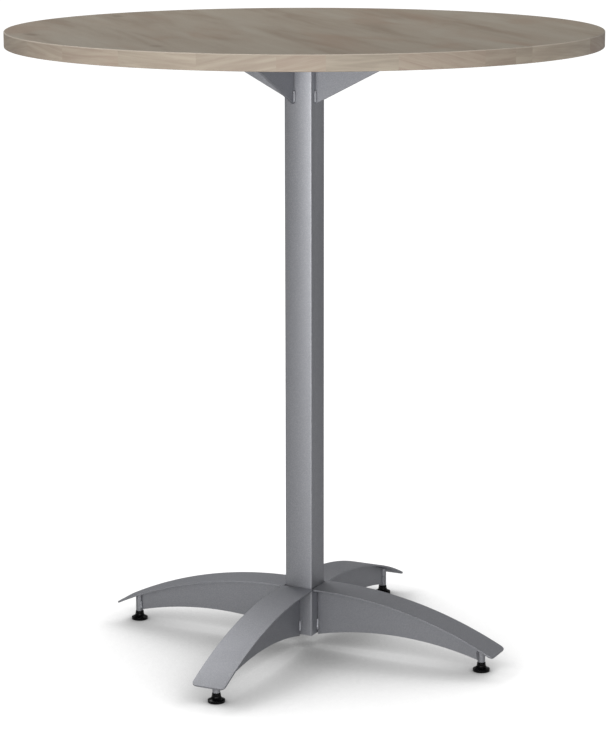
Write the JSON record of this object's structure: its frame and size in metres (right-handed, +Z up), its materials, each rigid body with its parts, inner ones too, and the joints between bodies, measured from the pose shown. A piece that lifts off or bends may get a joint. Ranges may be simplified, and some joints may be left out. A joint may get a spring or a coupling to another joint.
{
  "type": "standing meeting table",
  "caption": "Round wood-grain standing table on a square steel column, with gussets under the top and arched arms on screw-in levelling glides.",
  "frame": {"origin": "on the floor under the column's axis", "axes": "+Z up along the column; the arms lie along +X (right), +Y (back), -X (left) and -Y (front)"},
  "size_m": [0.99, 0.99, 1.067],
  "materials": {
    "wood_laminate": "satin wood-grain laminate",
    "wood_edge": "satin wood-grain edge band",
    "core_board": "raw particle board",
    "backer": "matt balancing sheet",
    "silver_paint": "satin silver powder coat",
    "zinc": "bright zinc plate",
    "black_plastic": "matt moulded plastic",
    "foot_plastic": "glossy moulded nylon"
  },
  "bodies": {
    "table": {"top_core": "core_board", "top_laminate": "wood_laminate", "backer_sheet": "backer", "edge_band": "wood_edge", "mounting_plate": "silver_paint", "column_tube": "silver_paint", "column_plug": "black_plastic", "wood_screw_1": "zinc", "wood_screw_2": "zinc", "wood_screw_3": "zinc", "wood_screw_4": "zinc", "wood_screw_5": "zinc", "wood_screw_6": "zinc", "wood_screw_7": "zinc", "wood_screw_8": "zinc", "gusset_right": "silver_paint", "arm_flange_right": "silver_paint", "arm_web_right": "silver_paint", "glide_sleeve_right": "silver_paint", "gusset_back": "silver_paint", "arm_flange_back": "silver_paint", "arm_web_back": "silver_paint", "glide_sleeve_back": "silver_paint", "gusset_left": "silver_paint", "arm_flange_left": "silver_paint", "arm_web_left": "silver_paint", "glide_sleeve_left": "silver_paint", "gusset_front": "silver_paint", "arm_flange_front": "silver_paint", "arm_web_front": "silver_paint", "glide_sleeve_front": "silver_paint"},
    "stud_right": {"glide_stud_right": "zinc"},
    "foot_right": {"glide_foot_right": "foot_plastic"},
    "stud_back": {"glide_stud_back": "zinc"},
    "foot_back": {"glide_foot_back": "foot_plastic"},
    "stud_left": {"glide_stud_left": "zinc"},
    "foot_left": {"glide_foot_left": "foot_plastic"},
    "stud_front": {"glide_stud_front": "zinc"},
    "foot_front": {"glide_foot_front": "foot_plastic"}
  },
  "joints": [
    {"name": "right_glide_travel", "type": "slide", "parent": "table", "child": "stud_right", "axis": [0, 0, -1], "range_m": [0, 0.00987]},
    {"name": "right_glide_turn", "type": "hinge", "parent": "stud_right", "child": "foot_right", "pos_m": [0.3306, 0, 0], "axis": [0, 0, -1], "range_deg": [0, 2520]},
    {"name": "back_glide_travel", "type": "slide", "parent": "table", "child": "stud_back", "axis": [0, 0, -1], "range_m": [0, 0.00987]},
    {"name": "back_glide_turn", "type": "hinge", "parent": "stud_back", "child": "foot_back", "pos_m": [0, 0.3306, 0], "axis": [0, 0, -1], "range_deg": [0, 2520]},
    {"name": "left_glide_travel", "type": "slide", "parent": "table", "child": "stud_left", "axis": [0, 0, -1], "range_m": [0, 0.00987]},
    {"name": "left_glide_turn", "type": "hinge", "parent": "stud_left", "child": "foot_left", "pos_m": [-0.3306, 0, 0], "axis": [0, 0, -1], "range_deg": [0, 2520]},
    {"name": "front_glide_travel", "type": "slide", "parent": "table", "child": "stud_front", "axis": [0, 0, -1], "range_m": [0, 0.00987]},
    {"name": "front_glide_turn", "type": "hinge", "parent": "stud_front", "child": "foot_front", "pos_m": [0, -0.3306, 0], "axis": [0, 0, -1], "range_deg": [0, 2520]}
  ],
  "couplings": [
    {"joint": "right_glide_turn", "follows": "right_glide_travel", "rad_per_m": 4452.7},
    {"joint": "back_glide_turn", "follows": "back_glide_travel", "rad_per_m": 4452.7},
    {"joint": "left_glide_turn", "follows": "left_glide_travel", "rad_per_m": 4452.7},
    {"joint": "front_glide_turn", "follows": "front_glide_travel", "rad_per_m": 4452.7}
  ]
}
